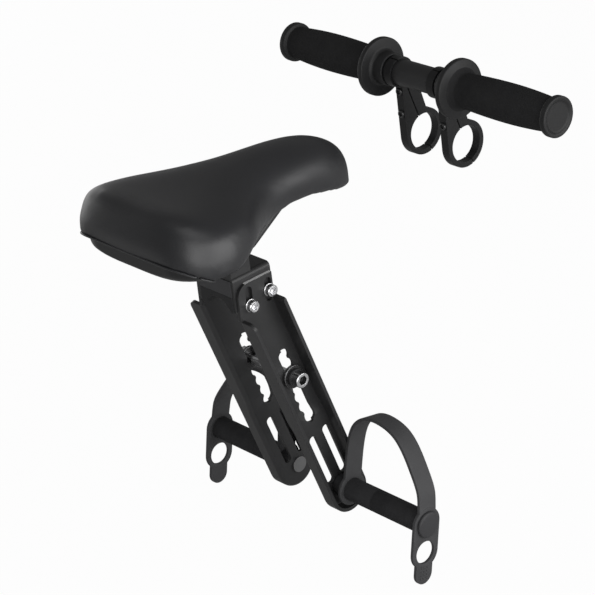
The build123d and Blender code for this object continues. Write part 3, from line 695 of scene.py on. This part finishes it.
class SEAT_OT_bolts(bpy.types.Operator):
    """Bright socket screws of the legs on their washers, and the through bolt with its rings and nut"""
    bl_idname = "seat.bolts"
    bl_label = "Bolts"

    def execute(self, context):
        metal = context.scene.seat_metal
        web = min(abs(y) for low, high in solids("through_washers") for y in (low.y, high.y))
        parts = [rounded_copy("leg_bolts", metal.head_edge)]
        for low, high in solids("leg_bolts"):
            side = 1 if low.y > 0 else -1
            thick, wide = metal.washer_t, metal.washer_r
            washer = turned([(0, 0), (0, wide), (thick, wide), (thick, 0)])
            soften_edges(washer, metal.head_edge / 2)
            set_on_side(washer, (low.x + high.x) / 2, side * web, (low.z + high.z) / 2, side)
            parts.append(washer)
        add_piece("leg_screws", join(parts), BRIGHT, ["leg_bolts"])
        rings = (
            ("through_washers", OXIDE), ("through_bushes", BUSH),
            ("through_nut", BRIGHT), ("through_bolt", BRIGHT),
        )
        for node, slot in rings:
            piece = rounded_piece(f"{node}_turned", node, slot, metal.head_edge)
            # The washers' rims get a painted highlight.
            if node == "through_washers":
                self.paint_rim_glint(piece.data, metal.rim_glint)
            # Painted shade inside the bolt's socket.
            if node == "through_bolt":
                self.paint_socket_shade(piece.data, metal)
        return {"FINISHED"}

    def radii(self, mesh):
        """Distance of each face from the piece's axis along Y."""
        middle = (max(v.co.x for v in mesh.vertices) + min(v.co.x for v in mesh.vertices)) / 2
        level = (max(v.co.z for v in mesh.vertices) + min(v.co.z for v in mesh.vertices)) / 2
        return [(face, math.hypot(face.center.x - middle, face.center.z - level)) for face in mesh.polygons]

    def paint_rim_glint(self, mesh, rim_glint):
        """Paints a highlight round the outer edge of the washers in the light plated steel of the pegs'
        cores.
        """
        mesh.materials.append(finish(PEG))
        faces = self.radii(mesh)
        wide = max(out for face, out in faces)
        for face, out in faces:
            if out > wide - rim_glint:
                face.material_index = 1

    def paint_socket_shade(self, mesh, metal):
        """Paints shade into the socket in the bolt's near end: its inner faces take the dark oxide finish."""
        mesh.materials.append(finish(OXIDE))
        near = min(v.co.y for v in mesh.vertices)
        for face, out in self.radii(mesh):
            if out < metal.socket_r and metal.socket_lip < face.center.y - near < metal.socket_deep:
                face.material_index = 1


class SEAT_OT_straps(bpy.types.Operator):
    """Rubber foot straps with softened edges and small nubs on the pull tab"""
    bl_idname = "seat.straps"
    bl_label = "Foot straps"

    def execute(self, context):
        props = context.scene.seat_rubber
        for side, sign in SIDES:
            node = f"strap_{side}"
            band = rounded_copy(node, props.strap_edge)
            add_piece(f"foot_strap_{side}", join([band, self.nubs(props, node, sign)]), STRAP, [node])
        return {"FINISHED"}

    def nubs(self, props, node, sign):
        """Nubs in rows on the outer face of the tab's lower end."""
        low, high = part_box(node)
        face = high.y if sign > 0 else low.y
        peg_low, peg_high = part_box(node.replace("strap", "peg_sleeve"))
        centre = (peg_low + peg_high) / 2
        down = Vector((-math.sin(props.tilt), 0, -math.cos(props.tilt)))
        across = Vector((math.cos(props.tilt), 0, -math.sin(props.tilt)))
        reach = (low.z + props.tab_up - centre.z) / down.z
        middle = Vector((centre.x, face, centre.z)) + down * reach
        bm = bmesh.new()
        for row in NUB_ROWS:
            for column in NUB_COLUMNS:
                place = middle + across * column * props.nub_gap - down * row * props.nub_gap
                spot = Matrix.Translation(place)
                bmesh.ops.create_icosphere(bm, subdivisions=2, radius=props.nub, matrix=spot)
        return bm


class SEAT_OT_pegs(bpy.types.Operator):
    """Foam sleeves and round end buttons of the foot pegs"""
    bl_idname = "seat.pegs"
    bl_label = "Foot pegs"

    def execute(self, context):
        props = context.scene.seat_rubber
        for side, sign in SIDES:
            self.sleeve(props, side, sign)
            self.button(props, side, sign)
        return {"FINISHED"}

    def sleeve(self, props, side, sign):
        """Foam sleeve over a peg's core, with a ring seam."""
        low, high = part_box(f"peg_sleeve_{side}")
        core_low, core_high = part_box(f"peg_core_{side}")
        x, z = (low.x + high.x) / 2, (low.z + high.z) / 2
        radius = (high.x - low.x) / 2
        bore = (core_high.x - core_low.x) / 2
        long = high.y - low.y
        seam = props.seam_at * long
        step = 2 * props.groove
        profile = [
            (0, bore), (0, radius), (seam - step, radius), (seam, radius - props.groove),
            (seam + step, radius), (long, radius), (long, bore), (0, bore),
        ]
        bm = turned(profile)
        soften_edges(bm, props.end_round, segments=3, angle=FOAM_SHARP)
        set_on_side(bm, x, low.y if sign > 0 else high.y, z, sign)
        add_piece(f"foam_sleeve_{side}", bm, FOAM, [f"peg_sleeve_{side}"])

    def button(self, props, side, sign):
        """Button at a peg's end, with a stem inside the strap and a domed face."""
        low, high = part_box(f"peg_cap_{side}")
        strap_low, strap_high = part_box(f"strap_{side}")
        x, z = (low.x + high.x) / 2, (low.z + high.z) / 2
        radius = (high.x - low.x) / 2
        tall = high.y - low.y
        brim = abs((strap_high.y - low.y) if sign > 0 else (high.y - strap_low.y)) + props.brim_gap
        stem = props.stem * radius
        profile = [
            (0, 0), (0, stem), (brim, stem), (brim, radius), (tall - props.slope_high, radius),
            (tall - props.dome, radius - props.slope_wide), (tall, props.dome_flat * radius), (tall, 0),
        ]
        bm = turned(profile)
        soften_edges(bm, props.cap_edge, angle=CAP_SHARP)
        set_on_side(bm, x, low.y if sign > 0 else high.y, z, sign)
        add_piece(f"end_button_{side}", bm, CAP, [f"peg_cap_{side}"])


class SEAT_OT_grips(bpy.types.Operator):
    """Grips with a hub, finger disc, foam barrel and dished end flange"""
    bl_idname = "seat.grips"
    bl_label = "Grips"

    def execute(self, context):
        props = context.scene.seat_grip
        bar_low, bar_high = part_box("bar_tube")
        bar = (bar_high.x - bar_low.x) / 2
        for side, sign in SIDES:
            low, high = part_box(f"grip_{side}")
            x, z = (low.x + high.x) / 2, (low.z + high.z) / 2
            inner = low.y if sign > 0 else high.y
            stop = bar_high.y - abs(inner)
            bm = self.turn(props, high.y - low.y, bar, stop)
            set_on_side(bm, x, inner, z, sign)
            add_piece(f"hand_grip_{side}", bm, GRIP, [f"grip_{side}"], [finish(GRIP), finish(BARREL)])
        return {"FINISHED"}

    def turn(self, props, long, bar, stop):
        """Grip along Z from its inner end, its barrel in the second material."""
        inner = props.disc_in
        outer = inner + props.disc_t
        begin = outer + props.root_far
        end = long - props.flange_t
        dish = props.flange - props.rim
        profile = [
            (0, bar), (0, props.hub), (inner - props.cove, props.hub), (inner, props.hub + props.cove),
            (inner, props.disc), (outer, props.disc), (outer + props.root_near, props.root),
            (outer + props.root_half, (props.root + props.start) / 2),
        ]
        for step in range(BARREL_STEPS + 1):
            part = step / BARREL_STEPS
            slim = props.belly - (props.start if part < 0.5 else props.neck)
            place = begin + part * (end - props.neck_gap - begin)
            profile.append((place, props.belly - slim * (2 * part - 1) ** 2))
        profile += [
            (end, props.flange), (long, props.flange), (long, dish),
            (long - props.dish, dish - props.dish_slope), (long - props.dish / 2, 0),
            (stop, 0), (stop, bar), (0, bar),
        ]
        bm = turned(profile, GRIP_STEPS)
        soften_edges(bm, props.edge, segments=3, angle=GRIP_SHARP)
        for face in bm.faces:
            middle = face.calc_center_median()
            outside = math.hypot(middle.x, middle.y) > (bar + props.neck) / 2
            barrel = outside and outer + props.root_near < middle.z < end - props.neck_gap
            face.material_index = 1 if barrel else 0
        return bm


class SEAT_OT_clamps(bpy.types.Operator):
    """Clamp halves of the small handlebar, with their bores and rounded edges"""
    bl_idname = "seat.clamps"
    bl_label = "Bar clamps"

    def execute(self, context):
        edge = context.scene.seat_metal.fold_edge
        for side, _ in SIDES:
            for half in ("rear", "front"):
                rounded_piece(f"bar_clamp_{half}_{side}", f"clamp_{half}_{side}", CLAMP, edge)
        return {"FINISHED"}


def add_light(name, place, target, power, size):
    """Area light of a width and a height that looks at a point."""
    lamp = bpy.data.lights.new(name, "AREA")
    lamp.energy = power
    lamp.shape = "RECTANGLE"
    lamp.size, lamp.size_y = size
    light = bpy.data.objects.new(name, lamp)
    light.location = place
    light.rotation_euler = (Vector(target) - Vector(place)).to_track_quat("-Z", "Y").to_euler()
    bpy.context.scene.collection.objects.link(light)


class SEAT_OT_stage(bpy.types.Operator):
    """White floor and room, soft light and the camera"""
    bl_idname = "seat.stage"
    bl_label = "Stage"

    def execute(self, context):
        props = context.scene.seat_stage
        context.scene.view_settings.view_transform = "Standard"
        self.floor(props)
        self.room(props)
        self.camera(props)
        middle = (CAD_BOX[0] + CAD_BOX[1]) / 2
        add_light("main_light", MAIN_PLACE, middle, props.key, MAIN_SIZE)
        add_light("top_light", TOP_PLACE, middle, props.top, TOP_SIZE)
        add_light("fill_light", FILL_PLACE, middle, props.fill, FILL_SIZE)
        add_light("back_light", BACK_PLACE, middle, props.back, BACK_SIZE)
        return {"FINISHED"}

    def seen(self, tree, gloss):
        """Factor that is one for rays that see the background, and a share of one in gloss."""
        path = tree.nodes.new("ShaderNodeLightPath")
        mirror = tree.nodes.new("ShaderNodeMath")
        mirror.operation = "MULTIPLY_ADD"
        mirror.inputs[1].default_value = gloss
        tree.links.new(path.outputs["Is Glossy Ray"], mirror.inputs[0])
        tree.links.new(path.outputs["Is Camera Ray"], mirror.inputs[2])
        clear = tree.nodes.new("ShaderNodeMath")
        clear.operation = "ADD"
        clear.use_clamp = True
        tree.links.new(mirror.outputs[0], clear.inputs[0])
        tree.links.new(path.outputs["Is Transmission Ray"], clear.inputs[1])
        return clear.outputs[0]

    def floor(self, props):
        """Floor that the camera sees as white and that takes the seat's shadow."""
        bm = bmesh.new()
        bmesh.ops.create_grid(bm, x_segments=1, y_segments=1, size=FLOOR_HALF)
        bmesh.ops.translate(bm, vec=(0, 0, CAD_BOX[0].z - FLOOR_GAP), verts=bm.verts)
        mesh = bpy.data.meshes.new("floor")
        bm.to_mesh(mesh)
        bm.free()
        material, tree, shader = principled("floor_white", FLOOR_TONE, roughness=0.9, specular=0.0)
        white = tree.nodes.new("ShaderNodeEmission")
        part = tree.nodes.new("ShaderNodeMath")
        part.operation = "MULTIPLY"
        part.inputs[1].default_value = props.white
        blend = tree.nodes.new("ShaderNodeMixShader")
        tree.links.new(self.seen(tree, props.mirror), part.inputs[0])
        tree.links.new(part.outputs[0], blend.inputs["Fac"])
        tree.links.new(shader.outputs[0], blend.inputs[1])
        tree.links.new(white.outputs[0], blend.inputs[2])
        tree.links.new(blend.outputs[0], tree.nodes["Material Output"].inputs["Surface"])
        mesh.materials.append(material)
        floor = bpy.data.objects.new("floor", mesh)
        bpy.context.scene.collection.objects.link(floor)

    def room(self, props):
        """Dim even room that the camera sees as white."""
        world = bpy.data.worlds.new("room")
        bpy.context.scene.world = world
        world.use_nodes = True
        tree = world.node_tree
        back = tree.nodes["Background"]
        back.inputs["Color"].default_value = (1, 1, 1, 1)
        level = tree.nodes.new("ShaderNodeMapRange")
        level.inputs["To Min"].default_value = props.room
        level.inputs["To Max"].default_value = 1.0
        tree.links.new(self.seen(tree, 0), level.inputs["Value"])
        tree.links.new(level.outputs["Result"], back.inputs["Strength"])

    def camera(self, props):
        """Camera in the place of the photograph's."""
        lens = bpy.data.cameras.new("camera")
        lens.sensor_width = SENSOR
        lens.lens = SENSOR * props.focal / PHOTO_SIDE
        lens.clip_end = FAR_SIGHT
        back = -Vector(props.look).normalized()
        up = Vector(props.up)
        right = up.cross(back).normalized()
        up = back.cross(right)
        turn = Matrix((right, up, back)).transposed().to_4x4()
        camera = bpy.data.objects.new("camera", lens)
        camera.matrix_world = Matrix.Translation(props.eye) @ turn
        bpy.context.scene.collection.objects.link(camera)
        bpy.context.scene.camera = camera


STEPS = (
    SEAT_OT_finishes, SEAT_OT_saddle, SEAT_OT_steelwork, SEAT_OT_bolts, SEAT_OT_straps, SEAT_OT_pegs,
    SEAT_OT_grips, SEAT_OT_clamps, SEAT_OT_stage,
)
GROUPS = {
    "seat_saddle": SaddleProps, "seat_metal": MetalProps, "seat_rubber": RubberProps,
    "seat_grip": GripProps, "seat_stage": StageProps,
}


class SEAT_PT_panel(bpy.types.Panel):
    """Steps and sizes of the dressing"""
    bl_idname = "SEAT_PT_panel"
    bl_label = "Child Seat"
    bl_space_type = "VIEW_3D"
    bl_region_type = "UI"
    bl_category = "Child Seat"

    def draw(self, context):
        for step in STEPS:
            self.layout.operator(step.bl_idname)
        for name, group in GROUPS.items():
            box = self.layout.box()
            for prop in group.__annotations__:
                box.prop(getattr(context.scene, name), prop)


def register():
    for name, group in GROUPS.items():
        bpy.utils.register_class(group)
        setattr(bpy.types.Scene, name, PointerProperty(type=group))
    for cls in (*STEPS, SEAT_PT_panel):
        bpy.utils.register_class(cls)


def unregister():
    for cls in (SEAT_PT_panel, *reversed(STEPS)):
        bpy.utils.unregister_class(cls)
    for name, group in GROUPS.items():
        delattr(bpy.types.Scene, name)
        bpy.utils.unregister_class(group)


def main():
    register()
    for step in STEPS:
        area, name = step.bl_idname.split(".")
        getattr(getattr(bpy.ops, area), name)()


if __name__ == "__main__":
    main()
